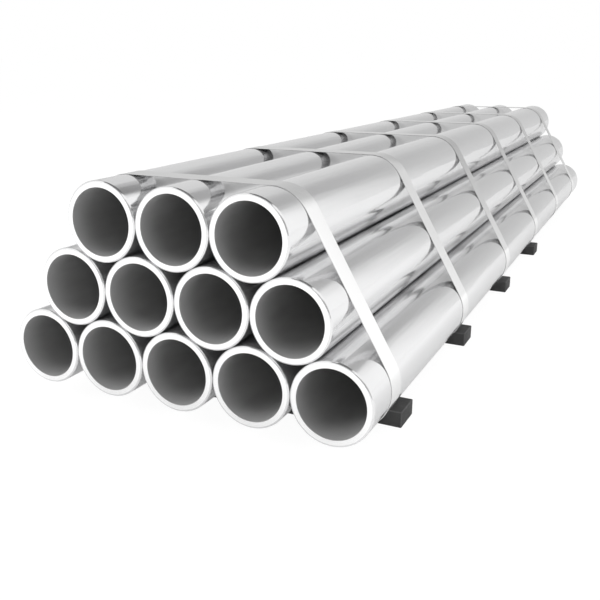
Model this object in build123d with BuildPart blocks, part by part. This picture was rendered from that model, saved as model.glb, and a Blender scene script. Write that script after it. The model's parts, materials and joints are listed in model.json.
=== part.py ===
from build123d import *

import os
from math import cos, radians, sin

# A strapped bundle of steel pipes, lying on bearers. Lengths are in millimetres, angles in degrees.
# X runs across the bundle, Y from its front ends to its far ends, and Z up from the floor.

# Pipes, close packed in rows, each row one pipe shorter than the row that carries it
pipe_diameter = 168.3
pipe_wall = 14.2
pipe_length = 3048.0
rim_chamfer = 4.0
bore_chamfer = 1.0
pipe_gap = 0.2
bottom_row_pipes = 5
row_names = ("bottom", "middle", "top")
row_angle = 60

# Straps, each one length of flat steel drawn round the stack, with its ends overlapped
strap_count = 6
strap_width = 54.0
strap_thickness = 1.1
strap_gap = 0.2
strap_front_inset = 120.0
strap_rear_inset = 210.0
lap_length = 104.0
lap_gap = 0.2
joggle_length = 14.0
joggle_clearance = 3.0

# Seals, steel sleeves folded round the overlapped ends of a strap and notched at both edges
seal_length = 60.0
seal_thickness = 1.2
seal_gap = 0.3
seal_slot = 12.0
seal_corner_chamfer = 0.8
notch_mouth = 13.0
notch_root = 8.0
notch_depth = 6.0
notch_pitch = 30.0

# Bearers, bars laid by hand across the floor under the stack, one a little way behind each strap
bearer_width = 75.0
bearer_height = 35.0
bearer_chamfer = 3.0
bearer_long_reach = 74.0
bearer_short_reach = 17.0
bearer_strap_gaps = (50.0, 31.0, 33.0, 40.0, 35.0, 35.0)
bearer_gap = 0.2
left_set_bearers = 2

# Sizes and places that follow from the values above
pipe_radius = pipe_diameter / 2
bore_radius = pipe_radius - pipe_wall
half_length = pipe_length / 2
pitch = pipe_diameter + pipe_gap
row_rise = pitch * sin(radians(row_angle))
lowest_axis = bearer_height + bearer_gap + pipe_radius
highest_axis = lowest_axis + (len(row_names) - 1) * row_rise
bottom_reach = (bottom_row_pipes - 1) * pitch / 2
top_reach = (bottom_row_pipes - len(row_names)) * pitch / 2

strap_inner_radius = pipe_radius + strap_gap
strap_outer_radius = strap_inner_radius + strap_thickness
strap_first = strap_front_inset - half_length
strap_pitch = (pipe_length - strap_front_inset - strap_rear_inset) / (strap_count - 1)
strap_places = [strap_first + place * strap_pitch for place in range(strap_count)]
lap_step = strap_thickness + lap_gap

bearer_offsets = [strap_width / 2 + gap + bearer_width / 2 for gap in bearer_strap_gaps]
bearer_length = 2 * bottom_reach + bearer_long_reach + bearer_short_reach

# The two straight sides of the stack lean in at the angle of the rows. The strap on the left side
# faces out along this direction, and its free run between the two lowest pipes holds the lap.
left_facing = 180 - (90 - row_angle)
right_facing = 90 - row_angle
left_out = Vector(cos(radians(left_facing)), sin(radians(left_facing)))
left_up = Vector(cos(radians(row_angle)), sin(radians(row_angle)))
left_foot = Vector(-bottom_reach, lowest_axis)
lap_middle = pitch / 2


def on_left_side(height_along, distance_out):
    """Point of the section on the left side, from the lowest pipe's axis up the slope and out from it."""
    return left_foot + left_up * height_along + left_out * distance_out


def strap_surface(radius):
    """Draws one face of a strap round the stack, from its covered end to its covering end."""
    corner_low_left = (-bottom_reach, lowest_axis)
    corner_low_right = (bottom_reach, lowest_axis)
    corner_high_right = (top_reach, highest_axis)
    corner_high_left = (-top_reach, highest_axis)
    lap_top = lap_middle + lap_length / 2
    lap_bottom = lap_middle - lap_length / 2
    joggle_bottom = lap_top + joggle_clearance
    joggle_top = joggle_bottom + joggle_length
    turn_low = 90 + right_facing
    turn_high = 90 - right_facing
    Line(on_left_side(lap_top, radius), on_left_side(0, radius))
    low_left = CenterArc(corner_low_left, radius, left_facing, turn_low)
    low_right = CenterArc(corner_low_right, radius, left_facing + turn_low, turn_low)
    Line(low_left @ 1, low_right @ 0)
    high_right = CenterArc(corner_high_right, radius, right_facing, turn_high)
    Line(low_right @ 1, high_right @ 0)
    high_left = CenterArc(corner_high_left, radius, right_facing + turn_high, turn_high)
    Line(high_right @ 1, high_left @ 0)
    Line(high_left @ 1, on_left_side(joggle_top, radius))
    Line(on_left_side(joggle_top, radius), on_left_side(joggle_bottom, radius + lap_step))
    Line(on_left_side(joggle_bottom, radius + lap_step), on_left_side(lap_bottom, radius + lap_step))
    return on_left_side(lap_top, radius), on_left_side(lap_bottom, radius + lap_step)


def crimp_notches():
    """Draws the notches at both edges of a seal, each narrowing from its mouth to its root."""
    half_mouth = notch_mouth / 2
    half_root = notch_root / 2
    edge_corners = [(-half_mouth, 0), (half_mouth, 0)]
    inner_corners = [(half_root, notch_depth), (-half_root, notch_depth)]
    outer_corners = [(-half_root, -notch_depth), (half_root, -notch_depth)]
    with GridLocations(notch_pitch, seal_width, 2, 2):
        Polygon(edge_corners[0], *outer_corners, edge_corners[1], *inner_corners)


def seal_plane(strap_place, facing_out):
    """Plane at the middle of a lap: facing out from the stack, or else looking up along the strap."""
    middle = on_left_side(lap_middle, strap_inner_radius)
    origin = (middle.X, strap_place, middle.Y)
    along = (left_up.X, 0, left_up.Y)
    outwards = (left_out.X, 0, left_out.Y)
    if facing_out:
        return Plane(origin=origin, x_dir=along, z_dir=outwards)
    return Plane(origin=origin, x_dir=(0, 1, 0), z_dir=along)


# The layers of strap in a seal, the hollow that holds them, and the sleeve's outer section
seal_layers = strap_thickness + lap_step
seal_hollow_width = strap_width + 2 * seal_gap
seal_hollow_depth = seal_layers + 2 * seal_gap
seal_width = seal_hollow_width + 2 * seal_thickness
seal_depth = seal_hollow_depth + 2 * seal_thickness

os.makedirs("parts", exist_ok=True)

# Pipes: a bored round bar with chamfered rims
for row, row_name in enumerate(row_names):
    row_pipes = bottom_row_pipes - row
    axis_height = lowest_axis + row * row_rise
    for place in range(row_pipes):
        axis_across = (place - (row_pipes - 1) / 2) * pitch
        far_end = Plane(origin=(axis_across, half_length, axis_height), x_dir=(1, 0, 0), z_dir=(0, -1, 0))
        with BuildPart() as pipe:
            with BuildSketch(far_end):
                Circle(pipe_radius)
                Circle(bore_radius, mode=Mode.SUBTRACT)
            extrude(amount=pipe_length)
            rims = pipe.edges().filter_by(GeomType.CIRCLE).group_by(SortBy.RADIUS)
            chamfer(rims[-1], length=rim_chamfer)
            chamfer(rims[0], length=bore_chamfer)
        pipe.part.label = f"pipe_{row_name}_{place + 1}"
        export_step(pipe.part, f"parts/{pipe.part.label}.step")

# Straps: the band's section drawn round the stack, with the notches that the seal is crimped by
for number, strap_place in enumerate(strap_places, start=1):
    with BuildPart() as strap:
        with BuildSketch(Plane.XZ.offset(-strap_place)):
            with BuildLine():
                inner_start, inner_end = strap_surface(strap_inner_radius)
                outer_start, outer_end = strap_surface(strap_outer_radius)
                Line(inner_start, outer_start)
                Line(inner_end, outer_end)
            make_face()
        extrude(amount=strap_width / 2, both=True)
        with BuildSketch(seal_plane(strap_place, facing_out=True)):
            crimp_notches()
        extrude(amount=seal_depth, both=True, mode=Mode.SUBTRACT)
    strap.part.label = f"strap_{number}"
    export_step(strap.part, f"parts/{strap.part.label}.step")

# Seals: a sleeve with its two lips folded in under the strap, notched in line with the strap
for number, strap_place in enumerate(strap_places, start=1):
    with BuildPart() as seal:
        with BuildSketch(seal_plane(strap_place, facing_out=False)) as sleeve:
            with Locations((0, seal_layers / 2)):
                Rectangle(seal_width, seal_depth)
            chamfer(sleeve.vertices(), length=seal_corner_chamfer)
            with Locations((0, seal_layers / 2)):
                Rectangle(seal_hollow_width, seal_hollow_depth, mode=Mode.SUBTRACT)
            with Locations((0, -seal_gap - seal_thickness / 2)):
                Rectangle(seal_slot, seal_thickness + seal_gap, mode=Mode.SUBTRACT)
        extrude(amount=seal_length / 2, both=True)
        with BuildSketch(seal_plane(strap_place, facing_out=True)):
            crimp_notches()
        extrude(amount=seal_depth, both=True, mode=Mode.SUBTRACT)
    seal.part.label = f"seal_{number}"
    export_step(seal.part, f"parts/{seal.part.label}.step")

# Bearers: chamfered bars, laid with the long reach to the right, the farthest ones to the left
for number, (strap_place, bearer_offset) in enumerate(zip(strap_places, bearer_offsets), start=1):
    set_left = number > strap_count - left_set_bearers
    left_reach = bearer_long_reach if set_left else bearer_short_reach
    left_end = Plane(
        origin=(-bottom_reach - left_reach, strap_place + bearer_offset, bearer_height / 2),
        x_dir=(0, 1, 0),
        z_dir=(1, 0, 0),
    )
    with BuildPart() as bearer:
        with BuildSketch(left_end):
            Rectangle(bearer_width, bearer_height)
        extrude(amount=bearer_length)
        chamfer(bearer.edges(), length=bearer_chamfer)
    bearer.part.label = f"bearer_{number}"
    export_step(bearer.part, f"parts/{bearer.part.label}.step")
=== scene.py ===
"""The looks of a strapped bundle of polished steel pipes that lies on dark bearers."""

import json
import logging
import math
from dataclasses import dataclass, field
from enum import Enum
from typing import Any, Optional, Union

import bmesh
import bpy
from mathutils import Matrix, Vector


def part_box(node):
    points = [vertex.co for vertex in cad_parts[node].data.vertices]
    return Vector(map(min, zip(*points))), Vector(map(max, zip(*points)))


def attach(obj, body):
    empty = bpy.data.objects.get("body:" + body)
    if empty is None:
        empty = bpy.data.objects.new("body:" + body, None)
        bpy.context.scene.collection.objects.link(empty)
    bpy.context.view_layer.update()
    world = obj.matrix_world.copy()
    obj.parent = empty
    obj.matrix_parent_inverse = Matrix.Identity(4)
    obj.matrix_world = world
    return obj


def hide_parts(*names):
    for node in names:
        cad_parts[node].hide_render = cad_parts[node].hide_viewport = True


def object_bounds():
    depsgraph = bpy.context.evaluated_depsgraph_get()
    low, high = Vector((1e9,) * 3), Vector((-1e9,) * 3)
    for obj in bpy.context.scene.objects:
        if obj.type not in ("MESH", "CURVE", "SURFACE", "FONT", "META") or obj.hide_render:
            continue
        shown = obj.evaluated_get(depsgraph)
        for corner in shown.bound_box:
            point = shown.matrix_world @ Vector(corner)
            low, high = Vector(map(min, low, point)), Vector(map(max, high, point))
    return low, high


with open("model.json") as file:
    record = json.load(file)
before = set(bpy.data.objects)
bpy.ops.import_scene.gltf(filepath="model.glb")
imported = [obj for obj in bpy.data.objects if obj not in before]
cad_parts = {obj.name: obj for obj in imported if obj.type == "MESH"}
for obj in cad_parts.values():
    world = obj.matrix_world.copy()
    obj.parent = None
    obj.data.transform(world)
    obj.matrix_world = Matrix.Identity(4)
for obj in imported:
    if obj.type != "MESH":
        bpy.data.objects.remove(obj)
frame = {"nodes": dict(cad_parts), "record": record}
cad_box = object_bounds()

log = logging.getLogger("pipe_bundle")

MM = 0.001
MERGE_DISTANCE = 0.01 * MM
BODY = "root"
HALF_WIDTH = (cad_box[1][0] - cad_box[0][0]) / 2
HALF_LENGTH = (cad_box[1][1] - cad_box[0][1]) / 2
TOP = cad_box[1][2]
NOISE_MIDDLE = 0.5
ROUND_PROFILE = 0.5

Number = Union[int, float]
Span = tuple[float, float]
Point2 = tuple[float, float]
Point3 = tuple[float, float, float]
Colour = tuple[float, float, float, float]
Owner = Union[bpy.types.Material, bpy.types.World]


def grey(value: float) -> Colour:
    """Opaque neutral colour of one linear value."""
    return (value, value, value, 1.0)


def degrees(start: float, end: float) -> Span:
    """Span of angles in radians, given in degrees."""
    return math.radians(start), math.radians(end)


class Slot(Enum):
    """The record's material slots."""

    PIPE = "pipe"
    STRAP = "strap"
    SEAL = "seal"
    BEARER = "bearer"

    def nodes(self, count: int) -> list[str]:
        """Names of the slot's numbered solids, from the front to the far end."""
        return [f"{self.value}_{number}" for number in range(1, count + 1)]


class Row(Enum):
    """The rows of the stack, from the floor up, with the number of pipes in each."""

    BOTTOM = ("bottom", 5)
    MIDDLE = ("middle", 4)
    TOP = ("top", 3)

    def nodes(self) -> list[str]:
        """Names of the row's pipes, from left to right."""
        name, count = self.value
        return [f"pipe_{name}_{place + 1}" for place in range(count)]

    def outer_axes(self) -> tuple[Vector, Vector]:
        """Middles of the row's leftmost and rightmost pipes."""
        first, *_, last = self.nodes()
        return sum(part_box(first), Vector()) / 2, sum(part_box(last), Vector()) / 2


class Signal:
    """A node's output socket, combined with others and with numbers by Python's operators."""

    def __init__(self, graph: "Graph", socket: bpy.types.NodeSocket) -> None:
        """Keeps the socket and the graph that its Math nodes are added to."""
        self.graph = graph
        self.socket = socket

    def maths(self, operation: str, *others: Union["Signal", Number]) -> "Signal":
        """Adds one Math node that starts from this socket.

        Args:
            operation: the Math node's operation.
            others: the values of its other sockets, in order.

        Returns:
            The Math node's result.
        """
        values = dict(enumerate((self, *others)))
        return self.graph.node("ShaderNodeMath", {"operation": operation}, values)[0]

    def __add__(self, other: Union["Signal", Number]) -> "Signal":
        """Sum."""
        return self.maths("ADD", other)

    def __radd__(self, other: Number) -> "Signal":
        """Sum with a number on the left."""
        return self.maths("ADD", other)

    def __sub__(self, other: Union["Signal", Number]) -> "Signal":
        """Difference."""
        return self.maths("SUBTRACT", other)

    def __rsub__(self, other: Number) -> "Signal":
        """Difference from a number."""
        return (self * -1) + other

    def __mul__(self, other: Union["Signal", Number]) -> "Signal":
        """Product."""
        return self.maths("MULTIPLY", other)

    def __rmul__(self, other: Number) -> "Signal":
        """Product with a number on the left."""
        return self.maths("MULTIPLY", other)

    def ramp(
        self,
        low: Union["Signal", Number],
        high: Union["Signal", Number],
        start: Number = 0.0,
        end: Number = 1.0,
    ) -> "Signal":
        """Smooth clamped step.

        Args:
            low: the value of this socket where the step starts.
            high: the value of this socket where the step ends.
            start: the result at and below low.
            end: the result at and above high.

        Returns:
            The stepped value.
        """
        values = {"Value": self, "From Min": low, "From Max": high, "To Min": start, "To Max": end}
        return self.graph.node("ShaderNodeMapRange", {"interpolation_type": "SMOOTHSTEP"}, values)[0]


class Added:
    """A node that was added to a graph, with its outputs by name or place."""

    def __init__(self, graph: "Graph", node: bpy.types.Node) -> None:
        """Keeps the node and its graph."""
        self.graph = graph
        self.node = node

    def __getitem__(self, key: Union[str, int]) -> Signal:
        """Output socket of that name or place."""
        return Signal(self.graph, self.node.outputs[key])


class Graph:
    """Adds nodes and links to one shader or geometry node tree."""

    def __init__(self, tree: bpy.types.NodeTree) -> None:
        """Keeps the tree."""
        self.tree = tree

    def node(
        self,
        kind: str,
        settings: Optional[dict[str, Any]] = None,
        inputs: Optional[dict[Union[str, int], Any]] = None,
    ) -> Added:
        """Adds one node.

        Args:
            kind: the node's type name.
            settings: its own properties, set before its sockets. The number of choices of an index
                switch is given as "choices".
            inputs: a value or a signal for each socket, by name or place.

        Returns:
            The node, for its outputs.
        """
        node = self.tree.nodes.new(kind)
        for name, value in (settings or {}).items():
            if name == "choices":
                while len(node.index_switch_items) < value:
                    node.index_switch_items.new()
            else:
                setattr(node, name, value)
        for key, value in (inputs or {}).items():
            self.set(node.inputs[key], value)
        return Added(self, node)

    def set(self, socket: bpy.types.NodeSocket, value: Any) -> None:
        """Links a signal to a socket, or sets the socket's own value.

        Args:
            socket: the input socket.
            value: the signal or the plain value.
        """
        if isinstance(value, Signal):
            self.tree.links.new(value.socket, socket)
        else:
            socket.default_value = value

    def split(self, vector: Signal) -> Added:
        """A vector's X, Y and Z."""
        return self.node("ShaderNodeSeparateXYZ", None, {0: vector})


@dataclass(frozen=True)
class Grain:
    """A noise pattern: features in each metre, what each axis is multiplied by, and finer layers.

    A small multiple draws the features out along that axis.
    """

    scale: float
    stretch: Point3 = (1.0, 1.0, 1.0)
    detail: float = 4.0


class ShaderGraph(Graph):
    """A material's or world's node tree."""

    def __init__(self, owner: Owner) -> None:
        """Starts from an empty tree of a material or world."""
        owner.use_nodes = True
        owner.node_tree.nodes.clear()
        super().__init__(owner.node_tree)
        self.owner = owner

    def place(self) -> Signal:
        """Object coordinates, in metres."""
        return self.node("ShaderNodeTexCoord")["Object"]

    def attribute(self, name: str) -> Signal:
        """The value that the mesh holds under a name."""
        return self.node("ShaderNodeAttribute", {"attribute_name": name})["Fac"]

    def noise(self, grain: Grain) -> Signal:
        """Noise in object coordinates.

        Args:
            grain: the pattern.

        Returns:
            The noise value, about NOISE_MIDDLE on average.
        """
        inputs = {"Vector": self.place(), "Scale": grain.stretch}
        mapped = self.node("ShaderNodeMapping", None, inputs)[0]
        values = {"Vector": mapped, "Scale": grain.scale, "Detail": grain.detail}
        return self.node("ShaderNodeTexNoise", None, values)["Fac"]

    def bump(self, height: Signal, strength: Number = 1.0, distance: Number = 1.0) -> Signal:
        """Normal of a surface raised by a height, over a distance in metres."""
        values = {"Strength": strength, "Distance": distance, "Height": height}
        return self.node("ShaderNodeBump", None, values)[0]

    def blend(self, factor: Union[Signal, Number], low: Any, high: Any) -> Signal:
        """Colour between two, by a factor, through the colour sockets of a Mix node."""
        return self.node("ShaderNodeMix", {"data_type": "RGBA"}, {0: factor, 6: low, 7: high})[2]

    def surface(self, shader: Signal) -> Owner:
        """Ends the tree in a shader.

        Args:
            shader: what the surface or the surroundings look like.

        Returns:
            The material or world that the tree belongs to.
        """
        is_world = isinstance(self.owner, bpy.types.World)
        kind = "ShaderNodeOutputWorld" if is_world else "ShaderNodeOutputMaterial"
        self.node(kind, None, {"Surface": shader})
        return self.owner

    def principled(self, values: dict[Union[str, int], Any]) -> Owner:
        """Ends the tree in a principled surface with these socket values, and gives the material."""
        return self.surface(self.node("ShaderNodeBsdfPrincipled", None, values)[0])


class GeometryGraph(Graph):
    """A geometry node tree with named inputs and one geometry output."""

    def __init__(self, name: str, sizes: dict[str, str]) -> None:
        """Makes the tree and its inputs.

        Args:
            name: the tree's name.
            sizes: each input's name and its socket type.
        """
        tree = bpy.data.node_groups.new(name, "GeometryNodeTree")
        super().__init__(tree)
        tree.interface.new_socket("Geometry", in_out="INPUT", socket_type="NodeSocketGeometry")
        tree.interface.new_socket("Geometry", in_out="OUTPUT", socket_type="NodeSocketGeometry")
        self.identifiers: dict[str, str] = {}
        for label, kind in sizes.items():
            socket = tree.interface.new_socket(label, in_out="INPUT", socket_type=kind)
            self.identifiers[label] = socket.identifier
        self.given = self.node("NodeGroupInput")

    def store(self, geometry: Signal, name: str, value: Signal, domain: str = "POINT") -> Signal:
        """Keeps a value on a geometry.

        Args:
            geometry: what the value is kept on.
            name: the name that it is kept under.
            value: the value.
            domain: what holds it, each point or each face.

        Returns:
            The geometry with the value.
        """
        settings = {"data_type": "FLOAT", "domain": domain}
        inputs = {"Geometry": geometry, "Name": name, "Value": value}
        return self.node("GeometryNodeStoreNamedAttribute", settings, inputs)[0]

    def stored(self, name: str) -> Signal:
        """The value that was kept under a name."""
        return self.node("GeometryNodeInputNamedAttribute", {"data_type": "FLOAT"}, {"Name": name})[0]

    def end(self, geometry: Signal, *finishes: tuple[bpy.types.Material, Optional[Signal]]) -> None:
        """Realizes what is instanced, sets the finishes and hands the result to the output.

        Args:
            geometry: what the tree has made.
            finishes: each material with the choice of its faces, or with None for all of them.
        """
        made = self.node("GeometryNodeRealizeInstances", None, {0: geometry})[0]
        for material, chosen in finishes:
            inputs = {"Geometry": made, "Material": material}
            if chosen is not None:
                inputs["Selection"] = chosen
            made = self.node("GeometryNodeSetMaterial", None, inputs)[0]
        self.node("NodeGroupOutput", None, {0: made})

    def make(self, carrier: bpy.types.Object, sizes: dict[str, Any]) -> bpy.types.Object:
        """Runs the tree on an object and keeps the result as the object's own plain mesh.

        Args:
            carrier: the object whose data the tree starts from.
            sizes: a value for each named input.

        Returns:
            The carrier if it is a mesh, or else a mesh object that takes its place and name.
        """
        modifier = carrier.modifiers.new(self.tree.name, "NODES")
        modifier.node_group = self.tree
        for label, value in sizes.items():
            modifier[self.identifiers[label]] = value
        depsgraph = bpy.context.evaluated_depsgraph_get()
        mesh = bpy.data.meshes.new_from_object(carrier.evaluated_get(depsgraph), depsgraph=depsgraph)
        carrier.modifiers.remove(modifier)
        if carrier.type == "MESH":
            carrier.data = mesh
            return carrier
        name = carrier.name
        bpy.data.objects.remove(carrier)
        return new_object(name, mesh)


def new_object(name: str, data: Any) -> bpy.types.Object:
    """Links a new object at the origin.

    Args:
        name: the object's name.
        data: its mesh, curve, lamp or camera.

    Returns:
        The object.
    """
    obj = bpy.data.objects.new(name, data)
    bpy.context.scene.collection.objects.link(obj)
    return obj


def shade(mesh: bpy.types.Mesh, crisp_angle: float) -> None:
    """Shades a mesh smooth, with a crisp line where two faces meet at more than an angle."""
    mesh.shade_smooth()
    mesh.set_sharp_from_angle(angle=crisp_angle)


def dress(obj: bpy.types.Object, slot: Slot, *nodes: str) -> bpy.types.Object:
    """Ties a finished piece to the frame.

    Args:
        obj: the piece.
        slot: the record's material slot of the piece; not used.
        nodes: the solids that it stands for.

    Returns:
        The piece.
    """
    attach(obj, BODY)
    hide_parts(*nodes)
    log.info("%s stands for %s, %d faces", obj.name, ", ".join(nodes), len(obj.data.polygons))
    return obj


@dataclass(frozen=True)
class PolishedSteel:
    """Mirror-bright drawn steel, with faint draw lines, a slight waviness and a little haze."""

    tint: Colour = (0.785, 0.785, 0.79, 1.0)
    hazed_tint: Colour = (0.755, 0.755, 0.76, 1.0)
    metallic: float = 0.85
    roughness: float = 0.115
    lines: Grain = Grain(180.0, (1.0, 0.012, 1.0), 3.0)
    line_roughness: float = 0.03
    line_height: float = 0.03 * MM
    waves: Grain = Grain(32.0, (1.0, 0.07, 1.0), 2.0)
    wave_height: float = 1.5 * MM
    haze: Grain = Grain(5.0, (1.0, 0.35, 1.0), 5.0)
    haze_span: Span = (0.42, 0.72)
    haze_roughness: float = 0.04

    def material(self) -> bpy.types.Material:
        """Makes the finish of the pipes' outer faces.

        Returns:
            The material.
        """
        graph = ShaderGraph(bpy.data.materials.new("polished_steel"))
        lines = graph.noise(self.lines)
        waves = graph.noise(self.waves)
        haze = graph.noise(self.haze).ramp(*self.haze_span)
        brushed = (lines - NOISE_MIDDLE) * self.line_roughness
        return graph.principled({
            "Base Color": graph.blend(haze, self.tint, self.hazed_tint),
            "Metallic": self.metallic,
            "Roughness": haze * self.haze_roughness + brushed + self.roughness,
            "Normal": graph.bump(lines * self.line_height + waves * self.wave_height),
        })


@dataclass(frozen=True)
class CutFace:
    """Bright sawn and faced end of a pipe, with fine turning marks."""

    tint: Colour = grey(0.97)
    roughness: float = 0.22
    marks: Grain = Grain(900.0, (1.0, 0.1, 1.0), 2.0)
    mark_strength: float = 0.08
    mark_height: float = 0.04 * MM
    smears: Grain = Grain(40.0, (1.0, 0.1, 1.0), 3.0)
    smear_roughness: float = 0.12

    def material(self) -> bpy.types.Material:
        """Makes the finish of the pipes' end faces.

        Returns:
            The material.
        """
        graph = ShaderGraph(bpy.data.materials.new("cut_face"))
        marks = graph.noise(self.marks)
        smears = graph.noise(self.smears)
        return graph.principled({
            "Base Color": self.tint,
            "Metallic": 1.0,
            "Roughness": (smears - NOISE_MIDDLE) * self.smear_roughness + self.roughness,
            "Normal": graph.bump(marks, self.mark_strength, self.mark_height),
        })


@dataclass(frozen=True)
class BoreScale:
    """Dull grey inside of a pipe, as rolled, paler towards its ends."""

    end_tint: Colour = grey(0.43)
    light: Colour = grey(0.35)
    dark: Colour = grey(0.28)
    end_depth: float = 0.07
    metallic: float = 0.2
    roughness: float = 0.5
    patches: Grain = Grain(14.0, (1.0, 0.25, 1.0), 6.0)
    patch_span: Span = (0.35, 0.7)
    patch_roughness: float = 0.2
    grain: Grain = Grain(420.0, (1.0, 0.2, 1.0), 3.0)
    grain_strength: float = 0.15
    grain_height: float = 0.2 * MM

    def material(self) -> bpy.types.Material:
        """Makes the finish of the pipes' bores.

        Returns:
            The material.
        """
        graph = ShaderGraph(bpy.data.materials.new("bore_scale"))
        patches = graph.noise(self.patches)
        grain = graph.noise(self.grain)
        along = graph.split(graph.place())["Y"].maths("ABSOLUTE")
        # paler over a short depth from each end, darker further in
        depth = (HALF_LENGTH - along).ramp(0.0, self.end_depth)
        scale = graph.blend(patches.ramp(*self.patch_span), self.light, self.dark)
        return graph.principled({
            "Base Color": graph.blend(depth, self.end_tint, scale),
            "Metallic": self.metallic,
            "Roughness": (patches - NOISE_MIDDLE) * self.patch_roughness + self.roughness,
            "Normal": graph.bump(grain, self.grain_strength, self.grain_height),
        })


@dataclass(frozen=True)
class StrapSteel:
    """Outer side of the flat strapping: bright, rolled along its length, with painted shade from the top
    down.

    Spans are places along the bundle, in metres from its middle. Over them the straps are painted brighter,
    as painted light, and the painted shade reaches further down.
    """

    tint: Colour = grey(0.9)
    far_painted_light_tint: Colour = grey(0.98)
    tint_span: Span = (-1.3, -0.3)
    painted_top_shade_tint: Colour = grey(0.588)
    top_shade_depth: float = 0.02
    far_top_shade_depth: float = 0.4
    top_shade_span: Span = (-0.9, -0.3)
    metallic: float = 0.8
    roughness: float = 0.1
    rolled: Grain = Grain(600.0, (0.03, 1.0, 0.03), 3.0)
    rolled_strength: float = 0.05
    rolled_height: float = 0.03 * MM
    smears: Grain = Grain(25.0)
    smear_roughness: float = 0.1

    def material(self) -> bpy.types.Material:
        """Makes the finish of the straps' outer side and edges.

        Returns:
            The material.
        """
        graph = ShaderGraph(bpy.data.materials.new("strap_steel"))
        rolled = graph.noise(self.rolled)
        smears = graph.noise(self.smears)
        place = graph.split(graph.place())
        # painted light: the straps are painted brighter towards the far end
        unshaded_steel = graph.blend(place["Y"].ramp(*self.tint_span), self.tint, self.far_painted_light_tint)
        # painted shade: the strap's top is painted darker, down to a depth that grows towards the far end
        top_shade_foot = place["Y"].ramp(*self.top_shade_span, TOP - self.top_shade_depth, TOP - self.far_top_shade_depth)
        top_shade = place["Z"].ramp(top_shade_foot, TOP)
        return graph.principled({
            "Base Color": graph.blend(top_shade, unshaded_steel, self.painted_top_shade_tint),
            "Metallic": self.metallic,
            "Roughness": (smears - NOISE_MIDDLE) * self.smear_roughness + self.roughness,
            "Normal": graph.bump(rolled, self.rolled_strength, self.rolled_height),
        })


@dataclass(frozen=True)
class StrapUnderside:
    """Inner side of the strapping, with painted shade: light on the front strap, nearly black on the
    others.

    The painted shade comes in over a span of places along the bundle, in metres from its middle. It is
    lighter along a strap's front edge, over a span of places across the strap, in shares of its width.
    """

    unshaded_tint: Colour = grey(0.75)
    painted_shade_tint: Colour = grey(0.03)
    painted_shade_span: Span = (-1.3, -0.9)
    front_edge_shade_share: float = 0.55
    front_edge_span: Span = (-0.4, 0.1)
    across_attribute: str = "across"
    roughness: float = 0.14
    smears: Grain = Grain(25.0)
    smear_roughness: float = 0.1

    def material(self) -> bpy.types.Material:
        """Makes the finish of the straps' inner side.

        Returns:
            The material.
        """
        graph = ShaderGraph(bpy.data.materials.new("strap_underside"))
        smears = graph.noise(self.smears)
        along = graph.split(graph.place())["Y"]
        across = graph.attribute(self.across_attribute)
        # painted shade: the underside is darkened where shade falls under the strap, less along its front
        # edge and on the front strap
        painted_shade = along.ramp(*self.painted_shade_span) * across.ramp(*self.front_edge_span, self.front_edge_shade_share, 1.0)
        return graph.principled({
            "Base Color": graph.blend(painted_shade, self.unshaded_tint, self.painted_shade_tint),
            "Metallic": 1.0,
            "Roughness": (smears - NOISE_MIDDLE) * self.smear_roughness + self.roughness,
        })


@dataclass(frozen=True)
class SealSteel:
    """Folded and crimped seal steel, duller than the strap."""

    tint: Colour = (0.62, 0.62, 0.63, 1.0)
    rubbed: Colour = grey(0.8)
    roughness: float = 0.34
    rubs: Grain = Grain(120.0, detail=5.0)
    rub_span: Span = (0.45, 0.65)
    rub_polish: float = 0.1

    def material(self) -> bpy.types.Material:
        """Makes the finish of the seals.

        Returns:
            The material.
        """
        graph = ShaderGraph(bpy.data.materials.new("seal_steel"))
        rubs = graph.noise(self.rubs).ramp(*self.rub_span)
        return graph.principled({
            "Base Color": graph.blend(rubs, self.tint, self.rubbed),
            "Metallic": 1.0,
            "Roughness": self.roughness - rubs * self.rub_polish,
        })


@dataclass(frozen=True)
class BearerPlastic:
    """Charcoal moulded plastic, matte and lightly scuffed, with paler upper edges: wear and a painted
    highlight.
    """

    tint: Colour = grey(0.06)
    scuffed: Colour = grey(0.084)
    rubbed: Colour = grey(0.12)
    edge_wear_and_highlight_attribute: str = "rubbed"
    least_edge_wear_and_highlight: float = 0.6
    roughness: float = 0.7
    gloss: float = 0.25
    scuffs: Grain = Grain(30.0, (0.3, 1.0, 1.0), 6.0)
    scuff_span: Span = (0.5, 0.75)
    grain: Grain = Grain(350.0)
    grain_roughness: float = 0.15
    grain_strength: float = 0.2
    grain_height: float = 0.3 * MM

    def material(self) -> bpy.types.Material:
        """Makes the finish of the bearers.

        Returns:
            The material.
        """
        graph = ShaderGraph(bpy.data.materials.new("bearer_plastic"))
        scuffs = graph.noise(self.scuffs).ramp(*self.scuff_span)
        grain = graph.noise(self.grain)
        skin = graph.blend(scuffs, self.tint, self.scuffed)
        # paler upper edges: partly wear, partly a painted highlight where light catches the edges
        edge_wear_and_highlight = scuffs * (1 - self.least_edge_wear_and_highlight) + self.least_edge_wear_and_highlight
        edges = graph.attribute(self.edge_wear_and_highlight_attribute)
        return graph.principled({
            "Base Color": graph.blend(edges * edge_wear_and_highlight, skin, self.rubbed),
            "Roughness": (grain - NOISE_MIDDLE) * self.grain_roughness + self.roughness,
            "Specular IOR Level": self.gloss,
            "Normal": graph.bump(grain, self.grain_strength, self.grain_height),
        })


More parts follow.
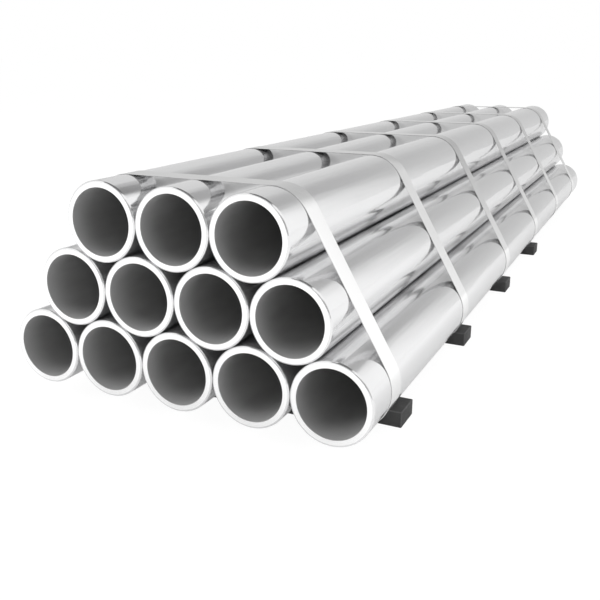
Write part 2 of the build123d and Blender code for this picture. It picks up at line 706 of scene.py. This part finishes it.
@dataclass
class Pipes:
    """The stack's pipes: lathe-turned tubes, each where its solid is.

    A tube is a profile turned about its axis. At each end the profile's rows run from the bore out, and
    the end face lies between the rows face_start and face_end.
    """

    steel: bpy.types.Material
    cut_face: bpy.types.Material
    bore_scale: bpy.types.Material
    rim_round: float = 4.0 * MM
    bore_chamfer: float = 0.6 * MM
    support: float = 1.5 * MM
    segments: int = 192
    round_steps: int = 5
    face_start: int = 2
    face_end: int = 4
    row_tolerance: float = 0.1
    row_attribute: str = "profile_row"
    tree: GeometryGraph = field(init=False)

    def __post_init__(self) -> None:
        """Builds the tube's geometry tree."""
        self.tree = self._tube_tree()

    def build(self) -> list[bpy.types.Object]:
        """Makes every pipe of the stack, from the bottom row up and from left to right."""
        return [self._pipe(node) for row in Row for node in row.nodes()]

    def _pipe(self, node: str) -> bpy.types.Object:
        """Makes one pipe.

        Args:
            node: the solid that it stands for.

        Returns:
            The pipe.
        """
        low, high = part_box(node)
        mount = next(m for m in frame["record"]["mounts"] if m["name"] == f"{node}_bore")
        sizes = {
            "Segments": self.segments,
            "Outer Radius": (high.x - low.x) / 2,
            "Bore Radius": mount["dims"]["r_mm"] * MM,
            "Half Length": (high.y - low.y) / 2,
            "Rim Round": self.rim_round,
            "Bore Chamfer": self.bore_chamfer,
            "Support": self.support,
            "Axis": (low + high) / 2,
        }
        obj = self.tree.make(new_object(f"{node}_tube", bpy.data.meshes.new(node)), sizes)
        return dress(obj, Slot.PIPE, node)

    def _end_profile(self, tree: GeometryGraph, side: int) -> list[tuple[Signal, Signal]]:
        """Radius and place along the pipe of one end's profile rows, from the bore out.

        Args:
            tree: the tube's geometry tree.
            side: -1 for the front end and 1 for the far end.

        Returns:
            The rows, with the places along the pipe measured from its middle.
        """
        given = tree.given
        outer, bore, half = given["Outer Radius"], given["Bore Radius"], given["Half Length"]
        rim, chamfer, support = given["Rim Round"], given["Bore Chamfer"], given["Support"]
        points = [
            (bore, half - chamfer - support),
            (bore, half - chamfer),
            (bore + chamfer, half),
            (outer - rim - support, half),
        ]
        for step in range(self.round_steps + 1):
            turn = math.pi / 2 * step / self.round_steps
            points.append((outer - rim * (1 - math.sin(turn)), half - rim * (1 - math.cos(turn))))
        points.append((outer, half - rim - support))
        return [(radius, along * side) for radius, along in points]

    def _tube_tree(self) -> GeometryGraph:
        """Builds the tree that turns a wall's profile about the pipe's axis.

        Returns:
            The tree.
        """
        tree = GeometryGraph("pipe_tube", {
            "Segments": "NodeSocketInt",
            "Outer Radius": "NodeSocketFloat",
            "Bore Radius": "NodeSocketFloat",
            "Half Length": "NodeSocketFloat",
            "Rim Round": "NodeSocketFloat",
            "Bore Chamfer": "NodeSocketFloat",
            "Support": "NodeSocketFloat",
            "Axis": "NodeSocketVector",
        })
        profile = self._end_profile(tree, -1) + self._end_profile(tree, 1)[::-1]
        rows = len(profile)
        columns = tree.given["Segments"] + 1
        side = 1.0
        grid_sizes = {"Size X": side, "Size Y": side, "Vertices X": columns, "Vertices Y": rows + 1}
        grid = tree.node("GeometryNodeMeshGrid", None, grid_sizes)["Mesh"]
        flat = tree.split(tree.node("GeometryNodeInputPosition")[0])
        row = (flat["Y"] + side / 2) * rows
        turn = (flat["X"] + side / 2) * math.tau
        grid = tree.store(grid, self.row_attribute, row, "FACE")
        grid = self._shaded(tree, grid, row, rows)
        index = tree.node("FunctionNodeFloatToInt", {"rounding_mode": "ROUND"}, {0: row})[0]
        index = index.maths("MODULO", rows)
        radius = self._choose(tree, index, [point[0] for point in profile])
        along = self._choose(tree, index, [point[1] for point in profile])
        turned = {"X": radius * turn.maths("COSINE"), "Y": along, "Z": radius * turn.maths("SINE")}
        moved = {0: tree.node("ShaderNodeCombineXYZ", None, turned)[0], 1: tree.given["Axis"]}
        placed = tree.node("ShaderNodeVectorMath", {"operation": "ADD"}, moved)[0]
        tube = tree.node("GeometryNodeSetPosition", None, {"Geometry": grid, "Position": placed})[0]
        seam = {"Geometry": tube, "Distance": MERGE_DISTANCE}
        tube = tree.node("GeometryNodeMergeByDistance", None, seam)[0]
        tree.end(tube, *self._finishes(tree, rows))
        return tree

    @staticmethod
    def _choose(tree: GeometryGraph, index: Signal, values: list[Signal]) -> Signal:
        """Picks one value of a list.

        Args:
            tree: the tube's geometry tree.
            index: the place in the list.
            values: the list.

        Returns:
            The value that the index points at.
        """
        settings = {"data_type": "FLOAT", "choices": len(values)}
        inputs = {0: index, **{place + 1: value for place, value in enumerate(values)}}
        return tree.node("GeometryNodeIndexSwitch", settings, inputs)[0]

    def _shaded(self, tree: GeometryGraph, grid: Signal, row: Signal, rows: int) -> Signal:
        """Shades the wall smooth, with crisp lines at the bores' edges.

        Args:
            tree: the tube's geometry tree.
            grid: the flat grid whose rows are the profile's.
            row: the row of a point.
            rows: the number of rows.

        Returns:
            The shaded grid.
        """
        smooth = {0: grid, "Shade Smooth": True}
        grid = tree.node("GeometryNodeSetShadeSmooth", {"domain": "FACE"}, smooth)[0]
        front_rows = (self.face_start - 1, self.face_start)
        crisp_rows = (*front_rows, *(rows - 1 - place for place in front_rows))
        compared = (row.maths("COMPARE", place, self.row_tolerance) for place in crisp_rows)
        crisp = {0: grid, "Selection": sum(compared, start=0.0), "Shade Smooth": False}
        return tree.node("GeometryNodeSetShadeSmooth", {"domain": "EDGE"}, crisp)[0]

    def _finishes(
        self, tree: GeometryGraph, rows: int,
    ) -> list[tuple[bpy.types.Material, Optional[Signal]]]:
        """Chooses the faces of each finish by their row.

        Args:
            tree: the tube's geometry tree.
            rows: the number of rows.

        Returns:
            Each finish with the choice of its faces, the outer steel first and everywhere.
        """
        row = tree.stored(self.row_attribute)
        far_start, far_end = rows - 1 - self.face_start, rows - 1 - self.face_end
        bore = row.maths("LESS_THAN", self.face_start) + row.maths("GREATER_THAN", far_start)
        front = row.maths("GREATER_THAN", self.face_start) * row.maths("LESS_THAN", self.face_end)
        far = row.maths("LESS_THAN", far_start) * row.maths("GREATER_THAN", far_end)
        return [(self.steel, None), (self.bore_scale, bore), (self.cut_face, front + far)]


@dataclass
class Straps:
    """The flat straps, each drawn round the stack's corner pipes with its ends overlapped and notched."""

    steel: bpy.types.Material
    underside: bpy.types.Material
    count: int = 6
    thickness: float = 1.1 * MM
    lap_gap: float = 0.2 * MM
    lap_length: float = 104.0 * MM
    joggle_length: float = 14.0 * MM
    joggle_clearance: float = 3.0 * MM
    notch_pitch: float = 30.0 * MM
    notch_mouth: float = 11.75 * MM
    notch_root: float = 8.0 * MM
    notch_depth: float = 4.5 * MM
    edge_round: float = 0.3 * MM
    arc_step: float = math.radians(3.0)
    crisp_angle: float = math.radians(20.0)
    lean: float = math.radians(60.0)
    width_attribute: str = "width_share"
    across_attribute: str = StrapUnderside.across_attribute
    tree: GeometryGraph = field(init=False)

    def __post_init__(self) -> None:
        """Builds the band's geometry tree."""
        self.tree = self._band_tree()

    def build(self) -> list[bpy.types.Object]:
        """Makes every strap, from the front to the far end."""
        return [self._strap(node) for node in Slot.STRAP.nodes(self.count)]

    def _strap(self, node: str) -> bpy.types.Object:
        """Makes one strap.

        Args:
            node: the solid that it stands for.

        Returns:
            The strap.
        """
        low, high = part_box(node)
        curve = bpy.data.curves.new(node, "CURVE")
        curve.dimensions = "3D"
        points = self._path(node)
        spline = curve.splines.new("POLY")
        spline.points.add(len(points) - 1)
        for point, (across, height, width_share) in zip(spline.points, points):
            point.co = (across, (low.y + high.y) / 2, height, 1.0)
            point.radius = width_share
        sizes = {
            "Width": high.y - low.y,
            "Thickness": self.thickness,
            "Edge Round": self.edge_round,
            "Middle": (low + high) / 2,
        }
        obj = self.tree.make(new_object(f"{node}_band", curve), sizes)
        shade(obj.data, self.crisp_angle)
        return dress(obj, Slot.STRAP, node)

    def _notched(self, middle: float, width: float) -> list[Point2]:
        """Places along the lap where the strap's width changes.

        Args:
            middle: the middle of the lap.
            width: the strap's full width.

        Returns:
            Each place, from the top down, with the share of the width that is kept there.
        """
        kept = 1 - 2 * self.notch_depth / width
        mouth, root = self.notch_mouth / 2, self.notch_root / 2
        reaches = ((mouth, 1.0), (root, kept), (-root, kept), (-mouth, 1.0))
        centres = (middle + self.notch_pitch / 2, middle - self.notch_pitch / 2)
        return [(centre + reach, share) for centre in centres for reach, share in reaches]

    def _path(self, node: str) -> list[Point3]:
        """Middle line of a strap in the stack's section, from its covered end to its covering end.

        Args:
            node: the strap's solid.

        Returns:
            Points across and up, each with the share of the strap's width that is kept there.
        """
        low_left, low_right = Row.BOTTOM.outer_axes()
        high_left, high_right = Row.TOP.outer_axes()
        low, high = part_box(node)
        radius = high.z - high_left.z - self.thickness / 2
        facing = math.pi / 2 + self.lean
        span = (low_right.x - low_left.x) / (len(Row.BOTTOM.nodes()) - 1)
        lap_top = (span + self.lap_length) / 2
        lap_bottom = (span - self.lap_length) / 2
        step = self.thickness + self.lap_gap
        joggle_bottom = lap_top + self.joggle_clearance

        def on_side(up: float, out: float, width_share: float = 1.0) -> Point3:
            """Point on the left side, up its slope from the lowest axis and out from the axes."""
            across = low_left.x + up * math.cos(self.lean) + out * math.cos(facing)
            return across, low_left.z + up * math.sin(self.lean) + out * math.sin(facing), width_share

        notched = self._notched(span / 2, high.y - low.y)
        points = [on_side(lap_top, radius)]
        points += [on_side(up, radius, share) for up, share in notched]
        corners = (
            (low_left, math.pi - self.lean), (low_right, math.pi - self.lean),
            (high_right, self.lean), (high_left, self.lean),
        )
        start = facing
        for centre, turn in corners:
            points += self._arc(centre, radius, start, turn)
            start += turn
        points.append(on_side(joggle_bottom + self.joggle_length, radius))
        points.append(on_side(joggle_bottom, radius + step))
        points += [on_side(up, radius + step, share) for up, share in notched]
        points.append(on_side(lap_bottom, radius + step))
        return points

    def _arc(self, centre: Vector, radius: float, start: float, turn: float) -> list[Point3]:
        """Points of one arc round a corner pipe's axis.

        Args:
            centre: the pipe's middle.
            radius: the arc's radius.
            start: the angle where it starts.
            turn: the angle that it turns through.

        Returns:
            The points, both ends included, at the strap's full width.
        """
        steps = max(2, round(turn / self.arc_step))
        angles = (start + turn * step / steps for step in range(steps + 1))
        return [(centre.x + radius * math.cos(a), centre.z + radius * math.sin(a), 1.0) for a in angles]

    def _band_tree(self) -> GeometryGraph:
        """Builds the tree that draws the band's section along its path.

        Returns:
            The tree.
        """
        tree = GeometryGraph("strap_band", {
            "Width": "NodeSocketFloat",
            "Thickness": "NodeSocketFloat",
            "Edge Round": "NodeSocketFloat",
            "Middle": "NodeSocketVector",
        })
        given = tree.given
        flat = {"Width": given["Width"], "Height": given["Thickness"]}
        section = tree.node("GeometryNodeCurvePrimitiveQuadrilateral", {"mode": "RECTANGLE"}, flat)[0]
        rounding = {"Curve": section, "Radius": given["Edge Round"], "Count": 1}
        section = tree.node("GeometryNodeFilletCurve", {"mode": "POLY"}, rounding)[0]
        upright = {"Curve": given["Geometry"], "Normal": (0.0, 1.0, 0.0)}
        path = tree.node("GeometryNodeSetCurveNormal", {"mode": "FREE"}, upright)[0]
        path = tree.store(path, self.width_attribute, tree.node("GeometryNodeInputRadius")[0])
        path = tree.node("GeometryNodeSetCurveRadius", None, {"Curve": path, "Radius": 1.0})[0]
        swept = {"Curve": path, "Profile Curve": section, "Fill Caps": True}
        band = tree.node("GeometryNodeCurveToMesh", None, swept)[0]
        place = tree.node("GeometryNodeInputPosition")[0]
        at = tree.split(place)
        middle = tree.split(given["Middle"])["Y"]
        along = (at["Y"] - middle) * tree.stored(self.width_attribute) + middle
        narrowed = tree.node("ShaderNodeCombineXYZ", None, {"X": at["X"], "Y": along, "Z": at["Z"]})[0]
        band = tree.node("GeometryNodeSetPosition", None, {"Geometry": band, "Position": narrowed})[0]
        across = (at["Y"] - middle).maths("DIVIDE", given["Width"])
        band = tree.store(band, self.across_attribute, across)
        offset = {0: place, 1: given["Middle"]}
        from_middle = tree.node("ShaderNodeVectorMath", {"operation": "SUBTRACT"}, offset)[0]
        compared = {0: tree.node("GeometryNodeInputNormal")[0], 1: from_middle}
        outwards = tree.node("ShaderNodeVectorMath", {"operation": "DOT_PRODUCT"}, compared)["Value"]
        inner = outwards.maths("LESS_THAN", -self.thickness)
        tree.end(band, (self.steel, None), (self.underside, inner))
        return tree


@dataclass
class Seals:
    """The sleeves folded round the straps' overlapped ends, with eased corners."""

    steel: bpy.types.Material
    count: int = 6
    edge_round: float = 0.25 * MM
    round_steps: int = 2
    flat_angle: float = math.radians(1.0)
    corner_angle: float = math.radians(25.0)
    crisp_angle: float = math.radians(40.0)

    def build(self) -> list[bpy.types.Object]:
        """Makes every seal, from the front to the far end."""
        return [self._seal(node) for node in Slot.SEAL.nodes(self.count)]

    def _seal(self, node: str) -> bpy.types.Object:
        """Makes one seal, from its solid's own faces.

        Args:
            node: the solid that it stands for.

        Returns:
            The seal.
        """
        solid = frame["nodes"][node]
        shape = bmesh.new()
        shape.from_mesh(solid.data)
        shape.transform(solid.matrix_world)
        bmesh.ops.remove_doubles(shape, verts=shape.verts[:], dist=MERGE_DISTANCE)
        bmesh.ops.dissolve_limit(
            shape, angle_limit=self.flat_angle, verts=shape.verts[:], edges=shape.edges[:],
        )
        corners = [edge for edge in shape.edges if edge.calc_face_angle(0.0) > self.corner_angle]
        bmesh.ops.bevel(
            shape, geom=corners, offset=self.edge_round, segments=self.round_steps,
            affect="EDGES", profile=ROUND_PROFILE, clamp_overlap=True,
        )
        mesh = bpy.data.meshes.new(node)
        shape.to_mesh(mesh)
        shape.free()
        mesh.materials.append(self.steel)
        shade(mesh, self.crisp_angle)
        return dress(new_object(f"{node}_sleeve", mesh), Slot.SEAL, node)


@dataclass
class Bearers:
    """The dark bars under the stack, with eased edges."""

    plastic: bpy.types.Material
    count: int = 6
    edge_round: float = 2.2 * MM
    round_steps: int = 3
    crisp_angle: float = math.radians(40.0)
    edge_wear_and_highlight_attribute: str = BearerPlastic.edge_wear_and_highlight_attribute

    def build(self) -> list[bpy.types.Object]:
        """Makes every bearer, from the front to the far end."""
        return [self._bearer(node) for node in Slot.BEARER.nodes(self.count)]

    def _bearer(self, node: str) -> bpy.types.Object:
        """Makes one bearer, with all its edges but the lowest marked for paler wear and a painted
        highlight.

        Args:
            node: the solid that it stands for.

        Returns:
            The bearer.
        """
        low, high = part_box(node)
        shape = bmesh.new()
        bmesh.ops.create_cube(shape, size=1.0)
        for vertex in shape.verts:
            vertex.co = Vector(h if c > 0 else l for c, l, h in zip(vertex.co, low, high))
        rubbed = shape.faces.layers.float.new(self.edge_wear_and_highlight_attribute)
        rounded = bmesh.ops.bevel(
            shape, geom=shape.edges[:], offset=self.edge_round, segments=self.round_steps,
            affect="EDGES", profile=ROUND_PROFILE,
        )
        for face in rounded["faces"]:
            # the upper edges get the paler mark, wear and a painted highlight; the lowest stay dark, in the
            # shade at the floor
            face[rubbed] = float(face.calc_center_median().z > low.z + self.edge_round)
        mesh = bpy.data.meshes.new(node)
        shape.to_mesh(mesh)
        shape.free()
        mesh.materials.append(self.plastic)
        shade(mesh, self.crisp_angle)
        return dress(new_object(f"{node}_bar", mesh), Slot.BEARER, node)


@dataclass(frozen=True)
class PaleFloor:
    """Plain pale floor, seen as white, and mirrored dimmer by the bundle and towards its far end."""

    side: float = 400.0
    paper: Colour = grey(0.9)
    glow: float = 0.9
    white: float = 1.05
    mirrored_white: float = 1.18
    far_dim: float = 0.36
    far_turn: Span = degrees(4.0, 30.0)
    shade_reach: float = 0.9
    shade_depth: float = 0.9

    def material(self) -> bpy.types.Material:
        """Makes the floor's finish, which keeps the bundle's shadow.

        Returns:
            The material.
        """
        graph = ShaderGraph(bpy.data.materials.new("pale_floor"))
        path = graph.node("ShaderNodeLightPath")
        place = graph.split(graph.place())
        sideways = place["X"].maths("ARCTAN2", place["Y"] + HALF_LENGTH).maths("ABSOLUTE")
        far = sideways.ramp(*self.far_turn, 1.0, 0.0)
        beside = (place["X"].maths("ABSOLUTE") - HALF_WIDTH).maths("MAXIMUM", 0.0)
        beyond = (place["Y"].maths("ABSOLUTE") - HALF_LENGTH).maths("MAXIMUM", 0.0)
        away = (beside.maths("POWER", 2.0) + beyond.maths("POWER", 2.0)).maths("POWER", 0.5)
        mirrored = path["Is Glossy Ray"].maths("MAXIMUM", path["Is Transmission Ray"])
        seen = mirrored.maths("MAXIMUM", path["Is Camera Ray"])
        white = self.white + mirrored * (self.mirrored_white - self.white - far * self.far_dim)
        near = mirrored * away.ramp(0.0, self.shade_reach, self.shade_depth, 0.0)
        paper = graph.node("ShaderNodeBsdfDiffuse", None, {"Color": self.paper})[0]
        glow = graph.node("ShaderNodeEmission", None, {"Color": white, "Strength": 1.0})[0]
        share = (seen - near) * self.glow
        return graph.surface(graph.node("ShaderNodeMixShader", None, {0: share, 1: paper, 2: glow})[0])

    def lay(self) -> None:
        """Lays the floor under the bundle."""
        mesh = bpy.data.meshes.new("studio_floor")
        half = self.side / 2
        corners = [(-half, -half, 0.0), (half, -half, 0.0), (half, half, 0.0), (-half, half, 0.0)]
        mesh.from_pydata(corners, [], [(0, 1, 2, 3)])
        mesh.materials.append(self.material())
        new_object("studio_floor", mesh)


@dataclass(frozen=True)
class Surroundings:
    """Bright side walls, a grey back wall and a dark strip overhead, made as light by direction.

    A turn is an angle from the bundle's far end to the right, a rise is an angle up from level, and a
    tilt is an angle from straight overhead to the right.
    """

    side_walls: float = 1.17
    right_rise: Span = degrees(5.0, 28.0)
    right_start_turn: Span = degrees(15.0, 8.0)
    right_end_turn: Span = degrees(28.0, 23.0)
    left_turn: Span = degrees(-80.0, -60.0)
    left_front_turn: Span = degrees(-125.0, -105.0)
    left_share: float = 0.65
    back_wall: float = 0.735
    corner_turn: Span = degrees(-45.0, -37.0)
    corner_share: float = 0.62
    dusk_turn: Span = degrees(-24.0, 4.0)
    dusk_rise: Span = degrees(-8.0, 40.0)
    dusk_depth: float = 0.46
    behind_turn: Span = degrees(80.0, 125.0)
    behind_rise: Span = degrees(28.0, 40.0)
    behind_depth: float = 0.7
    strip_left_tilt: Span = degrees(-29.0, -23.0)
    strip_right_tilt: Span = degrees(17.0, 25.0)
    strip_rise: Span = degrees(32.0, 46.0)
    strip_depth: float = 0.96

    def world(self) -> bpy.types.World:
        """Makes the surroundings, which the camera sees as plain white.

        Returns:
            The world.
        """
        graph = ShaderGraph(bpy.data.worlds.new("studio"))
        direction = graph.split(graph.node("ShaderNodeTexCoord")["Generated"])
        rise = direction["Z"].maths("ARCSINE")
        turn = direction["X"].maths("ARCTAN2", direction["Y"])
        tilt = direction["X"].maths("ARCTAN2", direction["Z"])
        strip = tilt.ramp(*self.strip_left_tilt) * tilt.ramp(*self.strip_right_tilt, 1.0, 0.0)
        strip = strip * rise.ramp(*self.strip_rise, 0.0, self.strip_depth)
        wall = self._walls(turn, rise) * (1 - strip)
        seen = graph.node("ShaderNodeLightPath")["Is Camera Ray"]
        white = wall * (1 - seen) + seen
        return graph.surface(graph.node("ShaderNodeBackground", None, {"Color": white, "Strength": 1.0})[0])

    def _walls(self, turn: Signal, rise: Signal) -> Signal:
        """Works out how bright the walls are.

        Args:
            turn: the direction's turn.
            rise: the direction's rise.

        Returns:
            The brightness in that direction.
        """
        right_start = rise.ramp(*self.right_rise, *self.right_start_turn)
        right_end = rise.ramp(*self.right_rise, *self.right_end_turn)
        left = turn.ramp(*self.left_front_turn, 1.0, self.left_share)
        lit = turn.ramp(right_start, right_end) + left * turn.ramp(*self.left_turn, 1.0, 0.0)
        dusk = turn.ramp(*self.dusk_turn) * rise.ramp(*self.dusk_rise)
        corner = turn.ramp(*self.corner_turn, self.corner_share, 1.0)
        back = (1 - lit) * corner * self.back_wall * (1 - dusk * self.dusk_depth)
        behind = turn.ramp(*self.behind_turn) * rise.ramp(*self.behind_rise, 1.0, 0.0)
        return (lit * self.side_walls + back) * (1 - behind * self.behind_depth)


@dataclass(frozen=True)
class Lamp:
    """A broad soft lamp that faces the bundle, kept out of the polished metal's reflections.

    Its place and its width and height are in metres, and its power in watts.
    """

    name: str
    place: Point3
    side: float
    power: float

    def hang(self) -> None:
        """Adds the lamp to the scene."""
        data = bpy.data.lights.new(self.name, "AREA")
        data.shape = "SQUARE"
        data.size = self.side
        data.energy = self.power
        lamp = new_object(self.name, data)
        lamp.location = self.place
        lamp.rotation_euler = Vector(self.place).to_track_quat("Z", "Y").to_euler()
        lamp.visible_glossy = False


@dataclass(frozen=True)
class PhotoCamera:
    """The camera where the photograph was taken from, turned by angles in degrees."""

    place: Point3 = (0.8337, -2.7158, 0.7225)
    turn: Point3 = (74.268, 0.04, 26.675)
    lens: float = 46.311
    sensor_width: float = 36.0
    shift: Point2 = (0.0328, -0.037)
    reach: float = 1000.0

    def set_up(self) -> None:
        """Adds the camera and makes it the scene's own."""
        data = bpy.data.cameras.new("photo_camera")
        data.lens = self.lens
        data.sensor_width = self.sensor_width
        data.shift_x, data.shift_y = self.shift
        data.clip_end = self.reach
        camera = new_object("photo_camera", data)
        camera.location = self.place
        camera.rotation_euler = [math.radians(angle) for angle in self.turn]
        bpy.context.scene.camera = camera


@dataclass
class Studio:
    """The pale floor, the surroundings, the soft lamps and the camera."""

    floor: PaleFloor = PaleFloor()
    surroundings: Surroundings = Surroundings()
    lamps: tuple[Lamp, ...] = (
        Lamp("overhead_lamp", (0.0, 0.0, 4.0), side=5.0, power=95.0),
        Lamp("front_lamp", (-3.2, -4.8, 3.2), side=2.5, power=120.0),
        Lamp("fill_lamp", (1.0, -4.2, 1.0), side=0.8, power=12.5),
    )
    camera: PhotoCamera = PhotoCamera()
    mirror_bounces: int = 24

    def build(self) -> None:
        """Makes the floor, the surroundings, the lamps and the camera."""
        scene = bpy.context.scene
        self.floor.lay()
        scene.world = self.surroundings.world()
        for lamp in self.lamps:
            lamp.hang()
        self.camera.set_up()
        scene.cycles.max_bounces = self.mirror_bounces
        scene.cycles.glossy_bounces = self.mirror_bounces
        scene.view_settings.view_transform = "Standard"


def main() -> None:
    """Builds the bundle's pieces in order, then the studio."""
    logging.basicConfig(level=logging.INFO, format="%(name)s: %(message)s")
    pipes = Pipes(PolishedSteel().material(), CutFace().material(), BoreScale().material())
    straps = Straps(StrapSteel().material(), StrapUnderside().material())
    seals = Seals(SealSteel().material())
    bearers = Bearers(BearerPlastic().material())
    pieces = [*pipes.build(), *straps.build(), *seals.build(), *bearers.build()]
    log.info("%d pieces dressed", len(pieces))
    Studio().build()


if __name__ == "__main__":
    main()
